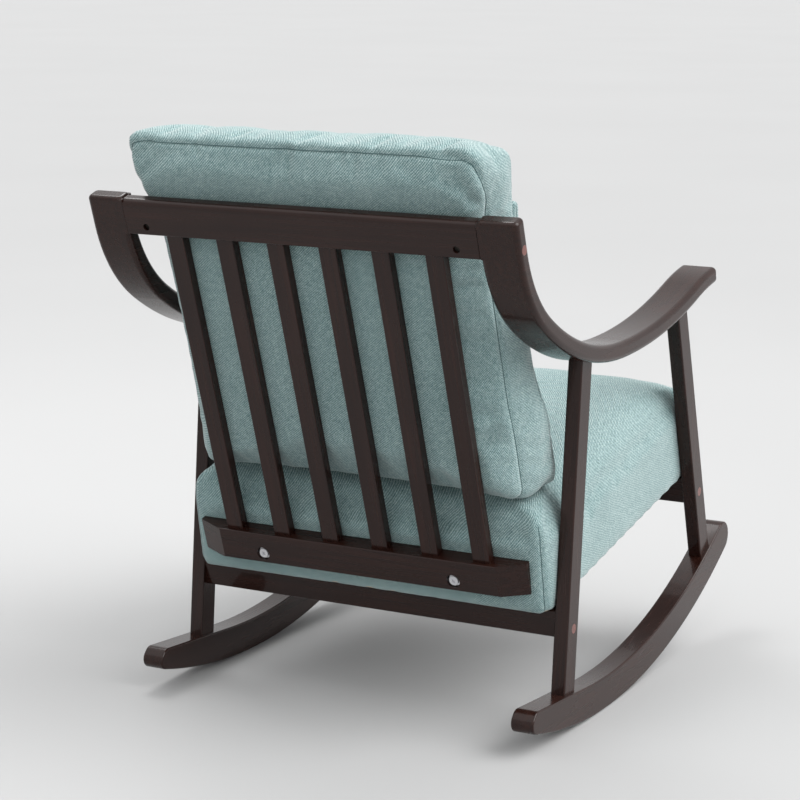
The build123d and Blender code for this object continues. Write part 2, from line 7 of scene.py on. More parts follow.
import json
from math import cos, pi, radians, sin

import bmesh
import bpy
import numpy as np
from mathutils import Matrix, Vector
from mathutils.bvhtree import BVHTree
from mathutils.kdtree import KDTree


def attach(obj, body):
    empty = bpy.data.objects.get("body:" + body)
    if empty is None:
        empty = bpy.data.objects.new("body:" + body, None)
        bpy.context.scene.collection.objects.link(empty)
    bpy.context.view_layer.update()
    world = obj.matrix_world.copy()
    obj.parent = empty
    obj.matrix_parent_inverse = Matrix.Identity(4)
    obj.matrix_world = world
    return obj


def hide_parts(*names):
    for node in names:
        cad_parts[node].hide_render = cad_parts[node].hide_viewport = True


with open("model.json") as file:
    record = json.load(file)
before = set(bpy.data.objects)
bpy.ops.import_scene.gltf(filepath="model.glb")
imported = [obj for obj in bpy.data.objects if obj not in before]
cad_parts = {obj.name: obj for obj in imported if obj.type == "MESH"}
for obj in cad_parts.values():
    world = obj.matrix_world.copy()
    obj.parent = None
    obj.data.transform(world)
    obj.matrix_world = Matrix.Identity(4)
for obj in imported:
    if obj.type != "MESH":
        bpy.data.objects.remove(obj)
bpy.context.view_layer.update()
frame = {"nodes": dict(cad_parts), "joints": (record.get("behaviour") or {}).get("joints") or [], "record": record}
nodes = frame["nodes"]

# %% [markdown]
# ## Directions
# A chair leans, so up and forward mean different things for its seat and for its back. The loose
# cushion slides up the back, so the joint's axis is the back's own upward direction. The seat
# block is tipped backward by a smaller angle. Every place below is told in one of these two sets
# of directions and then turned into plain X, Y and Z.

# %% Directions of the back and of the seat
SEAT_TILT = radians(10.5)
ACROSS = Vector((1, 0, 0))
BACK_UP = Vector(frame["joints"][0]["axis"]).normalized()
BACK_FORWARD = Vector((0, -BACK_UP.z, BACK_UP.y))
SEAT_UP = Vector((0, sin(SEAT_TILT), cos(SEAT_TILT)))
SEAT_BACKWARD = Vector((0, cos(SEAT_TILT), -sin(SEAT_TILT)))


def link(name, data):
    """Put an object with this data in the scene."""
    made = bpy.data.objects.new(name, data)
    bpy.context.scene.collection.objects.link(made)
    return made


def points_of(mesh):
    """All vertices of a mesh as an array, one row each."""
    flat = np.empty(3 * len(mesh.vertices))
    mesh.vertices.foreach_get("co", flat)
    return flat.reshape(-1, 3)


def span(node, direction):
    """How far a CAD node reaches along a direction: lowest and highest."""
    along = points_of(nodes[node].data) @ np.array(direction)
    return float(along.min()), float(along.max())


def blend_between(low, high, value):
    """A smooth step from 0 at low to 1 at high."""
    t = np.clip((value - low) / (high - low), 0, 1)
    return t * t * (3 - 2 * t)


SEAT_LOW, SEAT_HIGH = span("seat_cover", SEAT_UP)
SEAT_FRONT, SEAT_REAR = span("seat_cover", SEAT_BACKWARD)
SEAT_HALF_WIDTH = span("seat_cover", ACROSS)[1]
CUSHION_REAR, CUSHION_FRONT = span("back_cushion_cover", BACK_FORWARD)
CUSHION_TOP = span("back_cushion_cover", BACK_UP)[1]
CUSHION_HALF_WIDTH = span("back_cushion_cover", ACROSS)[1]
PILLOW_REAR, PILLOW_FRONT = span("throw_pillow_cover", BACK_FORWARD)
PILLOW_TOP = span("throw_pillow_cover", BACK_UP)[1]
PILLOW_HALF_WIDTH = span("throw_pillow_cover", ACROSS)[1]
RAIL_BOTTOM, RAIL_TOP = span("top_rail", BACK_UP)
RAIL_FRONT = span("top_rail", BACK_FORWARD)[1]
SLAT_FRONT = span("slat_1", BACK_FORWARD)[1]
ARM_INNER = span("arm_left", ACROSS)[0]
ARM_LOW = span("arm_left", Vector((0, 0, 1)))[0]
LEG_INNER = span("rear_leg_left", ACROSS)[0]
print("seat", SEAT_LOW, SEAT_HIGH, "cushion", CUSHION_REAR, CUSHION_FRONT, CUSHION_TOP)

# %% [markdown]
# ## Writing a finish as arithmetic
# A procedural finish is a graph of small nodes. Written out link by link it is long and hard to
# read, so one class wraps a socket and lets us add and multiply it like a number. A second class
# is the finish itself, with one method that makes any other node.


# %% Helpers for finishes
class Value:
    """A shader socket that can be used in arithmetic."""

    def __init__(self, finish, socket):
        self.finish = finish
        self.socket = socket

    def _math(self, operation, first, second=0.0):
        return self.finish.node("ShaderNodeMath", {"operation": operation}, {0: first, 1: second})

    def __add__(self, other):
        return self._math("ADD", self, other)

    __radd__ = __add__

    def __sub__(self, other):
        return self._math("SUBTRACT", self, other)

    def __rsub__(self, other):
        return self._math("SUBTRACT", other, self)

    def __mul__(self, other):
        return self._math("MULTIPLY", self, other)

    __rmul__ = __mul__

    def sine(self):
        return self._math("SINE", self)


class Finish:
    """A material whose nodes are made by one method."""

    def __init__(self, name, **constants):
        self.material = bpy.data.materials.new(name)
        self.material.use_nodes = True
        self.tree = self.material.node_tree
        self.surface = self.tree.nodes["Principled BSDF"]
        for socket, value in constants.items():
            self.surface.inputs[socket.replace("_", " ")].default_value = value

    def node(self, kind, settings=None, inputs=None, output=0):
        """Make a node: its settings first, then values or links for its sockets."""
        made = self.tree.nodes.new(kind)
        for key, value in (settings or {}).items():
            if key == "stops":
                for i, (position, colour) in enumerate(value):
                    ramp = made.color_ramp.elements
                    stop = ramp[i] if i < len(ramp) else ramp.new(position)
                    stop.position = position
                    stop.color = (*colour, 1)
            else:
                setattr(made, key, value)
        for key, value in (inputs or {}).items():
            self.set(made.inputs[key], value)
        return Value(self, made.outputs[output])

    def set(self, socket, value):
        """Give a socket a link or a constant."""
        if isinstance(value, Value):
            self.tree.links.new(value.socket, socket)
        else:
            socket.default_value = value

    def feed(self, **sockets):
        """Give the surface's own sockets what they show."""
        for name, value in sockets.items():
            self.set(self.surface.inputs[name.replace("_", " ")], value)
        return self.material

    def place(self):
        """Where a point is on the piece, in metres."""
        return self.node("ShaderNodeTexCoord", output="Object")

    def axes(self):
        """The same place as three numbers."""
        place = self.place()
        return [self.node("ShaderNodeSeparateXYZ", None, {0: place}, i) for i in range(3)]

    def cloud(self, scale, detail=2.0, place=None, roughness=0.5):
        """Soft noise from 0 to 1."""
        return self.node(
            "ShaderNodeTexNoise",
            None,
            {"Vector": place or self.place(), "Scale": scale, "Detail": detail, "Roughness": roughness},
        )

    def ramp(self, value, *stops):
        """Colours along a value."""
        return self.node("ShaderNodeValToRGB", {"stops": stops}, {0: value})

    def bump(self, height, distance, strength=1.0):
        return self.node(
            "ShaderNodeBump", None, {"Height": height, "Distance": distance, "Strength": strength}
        )


# %% [markdown]
# ## Lacquered dark wood
# The frame is rubberwood stained almost black-brown and sprayed with a glossy lacquer. The grain
# is barely seen: it is a slight change of brown in long streaks, and the lacquer lies over it as
# a smooth coat. We stretch noise along the board to draw the streaks, so each direction of board
# needs its own version of the finish.

# %% Wood
STAIN = ((0.2, (0.009, 0.0030, 0.0022)), (0.55, (0.019, 0.0066, 0.0045)), (0.85, (0.033, 0.0105, 0.0070)))
GRAIN_ALONG = 5.0
GRAIN_ACROSS = 130.0


def stained_wood(name, lean, along):
    """Dark lacquered wood whose grain runs along one axis after a turn about X."""
    wood = Finish(name, Coat_Weight=0.32, Coat_Roughness=0.06, Specular_IOR_Level=0.14)
    scale = [GRAIN_ACROSS] * 3
    scale[along] = GRAIN_ALONG
    turned = wood.node(
        "ShaderNodeMapping",
        {"vector_type": "TEXTURE"},
        {"Vector": wood.place(), "Rotation": (lean, 0, 0)},
    )
    streaks = wood.node("ShaderNodeMapping", None, {"Vector": turned, "Scale": scale})
    grain = wood.cloud(1.0, 3.0, streaks)
    patches = wood.cloud(9.0, 2.0)
    tone = grain * 0.7 + patches * 0.3
    pores = wood.cloud(6.0, 1.0, streaks)
    return wood.feed(
        Base_Color=wood.ramp(tone, *STAIN),
        Roughness=0.22 + 0.2 * patches * grain,
        Normal=wood.bump(grain * 0.6 + pores * 0.4, 0.0002, 0.35),
    )


BACK_LEAN = radians(-18)
wood_across = stained_wood("dark_wood_across", 0, 0)
wood_fore_aft = stained_wood("dark_wood_fore_aft", 0, 1)
wood_upright = stained_wood("dark_wood_upright", 0, 2)
wood_leaning = stained_wood("dark_wood_leaning", BACK_LEAN, 2)

# %% [markdown]
# The plugs that hide the bolts are little discs of a redder wood under the same lacquer. The
# hidden seat boards and dowels are bare wood.

# %% Plugs and bare wood
plugs = Finish("plug_wood", Coat_Weight=0.5, Coat_Roughness=0.15)
plug_rings = plugs.cloud(260.0, 2.0)
plugs.feed(
    Base_Color=plugs.ramp(plug_rings, (0.25, (0.07, 0.013, 0.008)), (0.75, (0.15, 0.032, 0.019))),
    Roughness=0.3 + 0.15 * plug_rings,
    Normal=plugs.bump(plug_rings, 0.0002, 0.3),
)
bare = Finish("bare_wood")
bare_grain = bare.cloud(24.0, 5.0)
bare.feed(
    Base_Color=bare.ramp(bare_grain, (0.3, (0.46, 0.3, 0.17)), (0.7, (0.66, 0.48, 0.3))),
    Roughness=0.6 + 0.2 * bare_grain,
    Normal=bare.bump(bare_grain, 0.0003, 0.4),
)

# %% [markdown]
# ## Metal, webbing, lining and foam
# The two bolts in the lower rail are bright zinc. Fine scratches in the roughness stop the metal
# from looking like a mirror. The black lining under the seat is a pressed felt.

# %% Metal and hidden cloths
zinc = Finish("zinc_steel", Metallic=1.0)
scratches = zinc.cloud(900.0, 3.0)
zinc.feed(
    Base_Color=zinc.ramp(scratches, (0.3, (0.5, 0.5, 0.52)), (0.7, (0.72, 0.72, 0.74))),
    Roughness=0.2 + 0.25 * scratches,
    Normal=zinc.bump(scratches, 0.0001, 0.3),
)

black_steel = Finish("black_steel", Metallic=1.0)
scale_marks = black_steel.cloud(500.0, 3.0)
black_steel.feed(
    Base_Color=black_steel.ramp(scale_marks, (0.3, (0.03, 0.028, 0.026)), (0.7, (0.06, 0.055, 0.05))),
    Roughness=0.35 + 0.2 * scale_marks,
    Normal=black_steel.bump(scale_marks, 0.0001, 0.3),
)


def plain_cloth(name, dark, light, scale):
    """A cloth that is only glimpsed: speckled, with a slight nap."""
    cloth = Finish(name, Sheen_Weight=0.2)
    nap = cloth.cloud(scale, 3.0)
    return cloth.feed(
        Base_Color=cloth.ramp(nap, (0.3, dark), (0.7, light)),
        Roughness=0.85 + 0.1 * nap,
        Normal=cloth.bump(nap, 0.0005, 0.5),
    )


webbing = plain_cloth("webbing", (0.012, 0.012, 0.013), (0.03, 0.03, 0.032), 700.0)
lining = plain_cloth("lining", (0.014, 0.014, 0.015), (0.028, 0.028, 0.03), 500.0)
foam = plain_cloth("foam", (0.72, 0.66, 0.5), (0.86, 0.82, 0.68), 600.0)

# %% [markdown]
# ## The woven cover
# The cover is a blue-green twill, woven from a light and a dark yarn. Twill steps sideways by one
# thread on every row, which draws diagonal ribs. Adding x, y and z before taking a sine gives
# diagonals on every side of a block at once, with no seams and no unwrapping. Sloped the other
# way, a second sine cuts the ribs into single floats. Yarn is never even, so noise speckles it.

# %% Upholstery cloth
RIB = 2 * pi / 0.0042
FLOAT = 2 * pi / 0.0036
YARN_DARK = (0.060, 0.125, 0.128)
YARN_MID = (0.185, 0.285, 0.285)
YARN_LIGHT = (0.43, 0.53, 0.525)


def twill(name):
    """The seat and cushion cloth."""
    cloth = Finish(name, Sheen_Weight=0.35, Sheen_Roughness=0.5, Specular_IOR_Level=0.25)
    x, y, z = cloth.axes()
    drift = cloth.cloud(60.0, 2.0) * 0.004
    ribs = ((x + y + z + drift) * RIB).sine()
    floats = ((x - z + y * 0.35 + drift) * FLOAT).sine()
    speckle = cloth.cloud(420.0, 2.0, None, 0.7)
    melange = cloth.cloud(130.0, 3.0)
    fading = cloth.cloud(7.0, 2.0)
    weave = ribs * 0.15 + floats * 0.08
    tone = weave + speckle * 0.80 + melange * 0.20 + fading * 0.14 - 0.08
    return cloth.feed(
        Base_Color=cloth.ramp(tone, (0.22, YARN_DARK), (0.5, YARN_MID), (0.8, YARN_LIGHT)),
        Roughness=0.82 + 0.12 * speckle,
        Normal=cloth.bump(ribs * 0.5 + floats * 0.3 + speckle * 0.8, 0.0006, 0.55),
    )


upholstery = twill("upholstery")
# The seam material is dark: on the tube along each seam it is painted shade of the seam's groove, on the beads it
# is the stitches' thread.
seam_shade_and_stitching = plain_cloth("painted_seam_shade_and_stitching", (0.03, 0.075, 0.078), (0.06, 0.13, 0.13), 900.0)

# %% [markdown]
# Each CAD node now gets its finish. A slat's grain runs up the back, a leg's nearly upright, a
# rail's across the chair and a rocker's from front to rear.

# %% Give the CAD nodes their finishes
SLOT_FINISH = {
    "plug_wood": plugs.material,
    "plain_wood": bare.material,
    "steel": zinc.material,
    "webbing": webbing,
    "lining": lining,
    "foam": foam,
    "upholstery": upholstery,
}
GRAIN_BY_NAME = {
    "slat": wood_leaning,
    "front_leg": wood_upright,
    "rear_leg": wood_upright,
    "rocker": wood_fore_aft,
    "arm": wood_fore_aft,
}
slot_of = {entry["node"]: entry["material_slot"] for entry in frame["record"]["subparts"]}
for name, node in nodes.items():
    finish = SLOT_FINISH.get(slot_of[name], wood_across)
    for start, grain in GRAIN_BY_NAME.items():
        if name.startswith(start + "_") and slot_of[name] == "dark_wood":
            finish = grain
    if name.endswith("barrel_nuts"):
        finish = black_steel.material
    node.data.materials.clear()
    node.data.materials.append(finish)
print("finished", len(nodes), "CAD nodes")

# %% [markdown]
# ## How a cushion is made
# A cushion starts as a block with round edges, a little smaller than it will be. Its skin is
# remade as an even net, turned into cloth and blown up with air, while its seams stay nearly
# where they are. The cloth between them swells, and puckers where it has too much room. Last, no
# point may travel further than real filling would let it, or pass through what it touches.


# %% Block with round edges
def round_block(name, half, corner, place, foot=2, cuts=34):
    """A block with round edges, put in place by a function of -1..1 coordinates.

    The higher the foot, the squarer the edge round its underside.
    """
    shell = bmesh.new()
    bmesh.ops.create_cube(shell, size=2)
    bmesh.ops.subdivide_edges(shell, edges=shell.edges[:], cuts=cuts, use_grid_fill=True)
    half = Vector(half)
    for v in shell.verts:
        # Spread the net so that it is finer near the edges.
        even = Vector([sin(c * pi / 2) * h for c, h in zip(v.co, half)])
        core = Vector([max(corner - h, min(h - corner, c)) for c, h in zip(even, half)])
        out = even - core
        power = foot if out.z < 0 else 2
        level = (out.x**2 + out.y**2) ** (power / 2)
        reach = (level + abs(out.z) ** power) ** (1 / power)
        if reach > 1e-9:
            even = core + out * (corner / reach)
        v.co = place(*[e / h for e, h in zip(even, half)])
    mesh = bpy.data.meshes.new(name)
    bmesh.ops.recalc_face_normals(shell, faces=shell.faces[:])
    shell.to_mesh(mesh)
    shell.free()
    return link(name, mesh)


def apply_modifiers(piece):
    """Turn what the modifiers show into the piece's own mesh."""
    shown = piece.evaluated_get(bpy.context.evaluated_depsgraph_get())
    mesh = bpy.data.meshes.new_from_object(shown)
    piece.modifiers.clear()
    piece.data = mesh


def set_points(mesh, points):
    """Move every vertex of a mesh to its row of an array."""
    mesh.vertices.foreach_set("co", np.ascontiguousarray(points).ravel())
    mesh.update()


def search_tree(points):
    """A tree that finds the nearest of some points."""
    tree = KDTree(len(points))
    for i, point in enumerate(points):
        tree.insert(point, i)
    tree.balance()
    return tree


# %% [markdown]
# The cloth is pushed outward by air for twenty steps, with gravity off. Points near a seam are
# pinned, the more firmly the closer they are.

# %% Swelling cloth
FRAMES = 20
PIN_REACH = 2.2  # how many net cells from a seam the cloth is still held
CLOTH_QUALITY = 6
CLOTH_MASS = 0.25
CLOTH_STIFFNESS = 0.4


def ready_to_swell(piece, voxel, seams, hold, pressure, slack):
    """Remake the skin as an even net, pin its seams softly and make it cloth."""
    remesh = piece.modifiers.new("net", "REMESH")
    remesh.mode = "VOXEL"
    remesh.voxel_size = voxel
    apply_modifiers(piece)
    tree = search_tree([point for seam in seams for point in seam])
    group = piece.vertex_groups.new(name="seam")
    for v in piece.data.vertices:
        near = tree.find(v.co)[2]
        weight = max(0.0, 1 - near / (PIN_REACH * voxel)) * hold
        if weight > 0:
            group.add([v.index], weight, "REPLACE")
    cloth = piece.modifiers.new("cloth", "CLOTH")
    cloth.settings.quality = CLOTH_QUALITY
    cloth.settings.mass = CLOTH_MASS
    cloth.settings.use_pressure = True
    cloth.settings.uniform_pressure_force = pressure
    cloth.settings.shrink_min = -slack
    cloth.settings.vertex_group_mass = "seam"
    cloth.settings.bending_stiffness = CLOTH_STIFFNESS
    cloth.settings.effector_weights.gravity = 0
    cloth.collision_settings.use_collision = False
    cloth.point_cache.frame_start = 1
    cloth.point_cache.frame_end = FRAMES


def swell(pieces):
    """Run the cloth of all pieces together, then cap how far each point has moved."""
    starts = {piece: points_of(piece.data) for piece, _ in pieces}
    for step in range(1, FRAMES + 1):
        bpy.context.scene.frame_set(step)
    for piece, reach in pieces:
        apply_modifiers(piece)
        moved = points_of(piece.data) - starts[piece]
        length = np.linalg.norm(moved, axis=1, keepdims=True)
        capped = moved * np.minimum(1, reach / np.maximum(length, 1e-9))
        set_points(piece.data, starts[piece] + capped)
        print(piece.name, "moved up to", round(float(length.max()) * 1000, 1), "mm, kept to", reach * 1000)
    bpy.context.scene.frame_set(1)


# %% [markdown]
# ## The seat block
# The seat is a deep foam block in a tight fitted cover. Its top is crowned, its sides are almost
# flat, and the cover is closed by a seam down each corner. It is tipped back with the chair, so
# its place is worked out across, backward and up through the block.

# %% Seat
SEAT_CROWN = 0.036
SEAT_MIDDLE = (SEAT_FRONT + SEAT_REAR) / 2
SEAT_HALF_DEPTH = (SEAT_REAR - SEAT_FRONT) / 2


def seat_crown(x, backward):
    """How far the crowned top stands above the flat block."""
    across = np.clip(abs(x) / SEAT_HALF_WIDTH, 0, 1)
    along = np.clip(abs(backward - SEAT_MIDDLE) / SEAT_HALF_DEPTH, 0, 1)
    return SEAT_CROWN * (1 - across**4) * (1 - along**7)


def on_seat(x, backward, up):
    """A place told in the seat's directions."""
    return ACROSS * x + SEAT_BACKWARD * backward + SEAT_UP * up


def in_seat(i, j, k):
    """A point of the seat block from -1..1 coordinates: across, backward, up."""
    x = i * SEAT_HALF_WIDTH
    backward = SEAT_MIDDLE + j * SEAT_HALF_DEPTH
    height = (k + 1) / 2
    top = SEAT_HIGH + float(seat_crown(x, backward))
    return on_seat(x, backward, SEAT_LOW + (top - SEAT_LOW) * height)


CORNER_REACH = 0.985  # how far out a corner seam runs
HEM_LEVEL = -0.93  # where the cover turns under, from -1 at the bottom to 1 at the top
seat_seams = [
    [in_seat(i * CORNER_REACH, j * CORNER_REACH, k) for k in np.linspace(-0.95, 0.86, 120)]
    for i in (-1, 1)
    for j in (-1, 1)
]
seat_piece = round_block(
    "upholstered_seat",
    (SEAT_HALF_WIDTH, SEAT_HALF_DEPTH, (SEAT_HIGH - SEAT_LOW) / 2),
    0.019,
    in_seat,
    foot=10,
)
seat_hem = [in_seat(i, j, HEM_LEVEL) for i in np.linspace(-1, 1, 160) for j in (-1, 1)] + [
    in_seat(i, j, HEM_LEVEL) for j in np.linspace(-1, 1, 160) for i in (-1, 1)
]
ready_to_swell(
    seat_piece, voxel=0.0065, seams=[*seat_seams, seat_hem], hold=0.9, pressure=3.0, slack=0.012
)
print(seat_piece.name, "has", len(seat_piece.data.vertices), "points and", len(seat_seams), "seams")

# %% [markdown]
# ## The back cushion
# The loose back cushion is boxed: a rear panel and a front panel, joined by a band that runs
# round the sides and the top. It stands on the seat, leans on the slats and rises above the top
# rail, where it is free to bulge backward. Its bottom follows the crown of the seat.

# %% Back cushion
CUSHION_TOP_FALL = 0.045
CUSHION_HALF_THICKNESS = 0.0625


def height_on_back(x, forward, above):
    """How far up the back a height above the seat's surface lies, at a distance forward."""
    flat = (SEAT_HIGH + above - forward * BACK_FORWARD.dot(SEAT_UP)) / BACK_UP.dot(SEAT_UP)
    spot = BACK_UP * flat + BACK_FORWARD * forward
    rise = float(seat_crown(x, spot.dot(SEAT_BACKWARD)))
    return flat + rise / BACK_UP.dot(SEAT_UP)


def on_back(x, up, forward):
    """A place told in the back's directions."""
    return ACROSS * x + BACK_UP * up + BACK_FORWARD * forward


CUSHION_HEEL = 0.040
HEEL_REACH = 0.060
REAR_TAPER = 0.016
SHOULDER_SPREAD = 0.008  # how much wider the cushion is above the rail
HIP_SPREAD = 0.014
BACK_BASE = RAIL_TOP - 0.559  # the lower rail's middle, from which heights on the back are told
HIP_HEIGHT = BACK_BASE + 0.19  # below this the cushion spreads under the arms


def in_cushion(i, j, k):
    """A point of the back cushion from -1..1 coordinates: across, up, forward."""
    forward = CUSHION_REAR + 0.002 + (CUSHION_FRONT - CUSHION_REAR - 0.008) * (k + 1) / 2
    heel = CUSHION_HEEL * max(0, 1 - (forward - CUSHION_REAR) / HEEL_REACH) ** 2
    x = i * (CUSHION_HALF_WIDTH - 0.003)
    bottom = height_on_back(x, forward, 0.003) + heel
    top = CUSHION_TOP + 0.003 - CUSHION_TOP_FALL * (k + 1) / 2
    up = bottom + (top - bottom) * (j + 1) / 2
    above_rail = float(blend_between(RAIL_BOTTOM, RAIL_TOP + 0.04, up))
    hip = 1 - float(blend_between(HIP_HEIGHT, HIP_HEIGHT + 0.09, up))
    wider = SHOULDER_SPREAD * above_rail + HIP_SPREAD * hip * (k + 1) / 2
    narrower = REAR_TAPER * (1 - above_rail) * ((1 - k) / 2) ** 2
    return on_back(x + i * (wider - narrower), up, forward)


def panel_loop(place, side, corner, top=None):
    """The seam round a panel: points along its four sides, cut across at the corners.

    It runs at the forward coordinate called side, and may come round to another one at the top.
    """
    ring = []
    for turn in np.linspace(0, 2 * pi, 720, endpoint=False):
        reach = 1 / max(abs(cos(turn)), abs(sin(turn)))
        reach = min(reach, (2 - corner) / (abs(cos(turn)) + abs(sin(turn))))
        across, up = cos(turn) * reach, sin(turn) * reach
        level = side
        if top:
            rise = float(blend_between(0.7, 0.98, up))
            level = side + (top[0] - side) * rise
            up = up + (top[1] - 1) * rise
        ring.append(place(across, up, level))
    return [*ring, ring[0]]


cushion_seams = [
    panel_loop(in_cushion, -0.50, 0.035, (-0.98, 0.94)),
    panel_loop(in_cushion, 0.80, 0.06),
]
cushion_piece = round_block(
    "back_cushion",
    (
        CUSHION_HALF_WIDTH,
        (CUSHION_TOP - height_on_back(0, CUSHION_REAR, 0)) / 2,
        CUSHION_HALF_THICKNESS,
    ),
    0.020,
    in_cushion,
)
ready_to_swell(
    cushion_piece, voxel=0.0065, seams=cushion_seams, hold=0.75, pressure=5.0, slack=0.03
)
print(cushion_piece.name, "has", len(cushion_piece.data.vertices), "points")

# %% [markdown]
# ## The scatter cushion
# The small cushion in front is only two square panels sewn together round the edge, so it is
# thick in the middle and thins to a knife edge, with pointed corners.

# %% Scatter cushion
PILLOW_MIDDLE = (PILLOW_REAR + PILLOW_FRONT) / 2
PILLOW_HALF_THICKNESS = (PILLOW_FRONT - PILLOW_REAR) / 2
EDGE_THICKNESS = 0.10
EDGE_PULL = 0.045  # how far a side draws in between two corners, as a share
FULLNESS = 0.72
ROUNDNESS = 2.4  # of the swell toward the edges


def in_pillow(i, j, k):
    """A point of the scatter cushion: its sides pull in between the corners."""
    pull_x = 1 - EDGE_PULL * (1 - j * j)
    pull_up = 1 - EDGE_PULL * (1 - i * i)
    x = i * PILLOW_HALF_WIDTH * pull_x
    swell_here = ((1 - abs(i) ** ROUNDNESS) * (1 - abs(j) ** ROUNDNESS)) ** 0.5
    thick = PILLOW_HALF_THICKNESS * (EDGE_THICKNESS + FULLNESS * swell_here)
    forward = PILLOW_MIDDLE + k * thick
    bottom = height_on_back(x, PILLOW_MIDDLE, 0.004)
    middle = (bottom + PILLOW_TOP) / 2
    return on_back(x, middle + j * (PILLOW_TOP - bottom) / 2 * pull_up, forward)


pillow_seam = panel_loop(in_pillow, 0, 0.02)
pillow_piece = round_block(
    "scatter_cushion", (PILLOW_HALF_WIDTH, PILLOW_HALF_WIDTH, 0.02), 0.006, in_pillow
)
ready_to_swell(pillow_piece, voxel=0.006, seams=[pillow_seam], hold=0.25, pressure=4.5, slack=0.03)
print(pillow_piece.name, "has", len(pillow_piece.data.vertices), "points")

# %% [markdown]
# All three swell in the same twenty steps. The tight seat may move least and the soft scatter
# cushion most.

# %% Swell all three
SEAT_SWELL = 0.009
CUSHION_SWELL = 0.022
PILLOW_SWELL = 0.028
swell([(seat_piece, SEAT_SWELL), (cushion_piece, CUSHION_SWELL), (pillow_piece, PILLOW_SWELL)])

# %% [markdown]
# ## What a cushion may not pass through
# Cloth that meets wood goes flat against it. Each piece's points are measured along the direction
# of what it touches, and any that went too far are set back to just short of it. Above the rail
# nothing holds the back cushion, so its limit there eases away smoothly.

# %% Keep the pieces clear of each other
TOUCH = 0.0006
SEAT_SIDE_BULGE = 0.0015
SEAT_REAR_BULGE = 0.006
CUSHION_SIDE_BULGE = 0.014
CUSHION_REAR_BULGE = 0.010
CUSHION_FRONT_BULGE = 0.012
LEG_GAP = 0.003


def measured(points, *directions):
    """How far each point lies along each direction."""
    return [points @ np.array(direction) for direction in directions]


def move_along(points, direction, distance):
    return points + np.outer(distance, np.array(direction))


def lift_onto_seat(points):
    """Raise every point that is below the seat's crowned top."""
    backward, up = measured(points, SEAT_BACKWARD, SEAT_UP)
    inside = backward < SEAT_REAR + 0.004
    lowest = SEAT_HIGH + seat_crown(points[:, 0], backward) + TOUCH
    return move_along(points, SEAT_UP, np.where(inside, np.maximum(0, lowest - up), 0))


def fit_seat(points):
    """Hold the seat to its width, its rear face and its crown."""
    side = SEAT_HALF_WIDTH + SEAT_SIDE_BULGE
    points[:, 0] = np.clip(points[:, 0], -side, side)
    backward, up = measured(points, SEAT_BACKWARD, SEAT_UP)
    free = blend_between(SEAT_LOW + 0.088, SEAT_LOW + 0.11, up)
    furthest = SEAT_REAR + SEAT_REAR_BULGE * free
    points = move_along(points, SEAT_BACKWARD, np.minimum(0, furthest - backward))
    highest = SEAT_HIGH + seat_crown(points[:, 0], backward)
    points = move_along(points, SEAT_UP, np.minimum(0, highest - up))
    up = points @ np.array(SEAT_UP)
    return move_along(points, SEAT_UP, np.maximum(0, SEAT_LOW - up))


def fit_cushion(points):
    """Keep the back cushion off the wood, behind the scatter cushion and on the seat."""
    up, forward = measured(points, BACK_UP, BACK_FORWARD)
    above_rail = blend_between(RAIL_TOP, RAIL_TOP + 0.05, up)
    below_rail = 1 - blend_between(RAIL_BOTTOM - 0.03, RAIL_BOTTOM - 0.004, up)
    under_arm = 1 - blend_between(ARM_LOW - 0.035, ARM_LOW - 0.004, points[:, 2])
    side = ARM_INNER - TOUCH + CUSHION_SIDE_BULGE * above_rail
    side = side + (LEG_INNER - ARM_INNER - LEG_GAP) * under_arm
    points[:, 0] = np.clip(points[:, 0], -side, side)
    nearest = RAIL_FRONT + TOUCH - CUSHION_REAR_BULGE * above_rail
    nearest = nearest - (RAIL_FRONT - SLAT_FRONT) * below_rail
    points = move_along(points, BACK_FORWARD, np.maximum(0, nearest - forward))
    past_side = blend_between(PILLOW_HALF_WIDTH - 0.02, PILLOW_HALF_WIDTH + 0.03, abs(points[:, 0]))
    past_top = blend_between(PILLOW_TOP - 0.01, PILLOW_TOP + 0.05, up)
    furthest = PILLOW_REAR - TOUCH + CUSHION_FRONT_BULGE * np.maximum(past_side, past_top)
    points = move_along(points, BACK_FORWARD, np.minimum(0, furthest - forward))
    return lift_onto_seat(points)


def fit_pillow(points):
    """Keep the scatter cushion in front of the back cushion and on the seat."""
    forward = points @ np.array(BACK_FORWARD)
    points = move_along(points, BACK_FORWARD, np.maximum(0, PILLOW_REAR - forward))
    return lift_onto_seat(points)


def relax(piece, rounds, strength):
    """Even out small steps left by the limits."""
    net = bmesh.new()
    net.from_mesh(piece.data)
    for _ in range(rounds):
        bmesh.ops.smooth_vert(
            net, verts=net.verts[:], factor=strength, use_axis_x=True, use_axis_y=True, use_axis_z=True
        )
    net.to_mesh(piece.data)
    net.free()


for piece, fit in ((seat_piece, fit_seat), (cushion_piece, fit_cushion), (pillow_piece, fit_pillow)):
    set_points(piece.data, fit(points_of(piece.data)))
    relax(piece, 2, 0.4)
    set_points(piece.data, fit(points_of(piece.data)))
    finer = piece.modifiers.new("finer", "SUBSURF")
    finer.levels = finer.render_levels = 1
    apply_modifiers(piece)
    print(piece.name, len(piece.data.vertices), "points")


# %% [markdown]
# ## Creases
# Where a cover was pulled over its filling it keeps a few long creases. Each is a line between
# two points on the cover, and points near the line sink in, more in its middle than at its ends.


# %% Tools for creases
def skin_of(piece):
    """The piece's surface, ready to be searched for its nearest point."""
    return BVHTree.FromPolygons(
        [v.co for v in piece.data.vertices], [p.vertices for p in piece.data.polygons]
    )


def on_surface(skin, line, inset=0.0):
    """The same line, laid on the skin."""
    laid = []
    for point in line:
        spot, normal, _, _ = skin.find_nearest(point)
        laid.append(spot - normal * inset)
    return laid


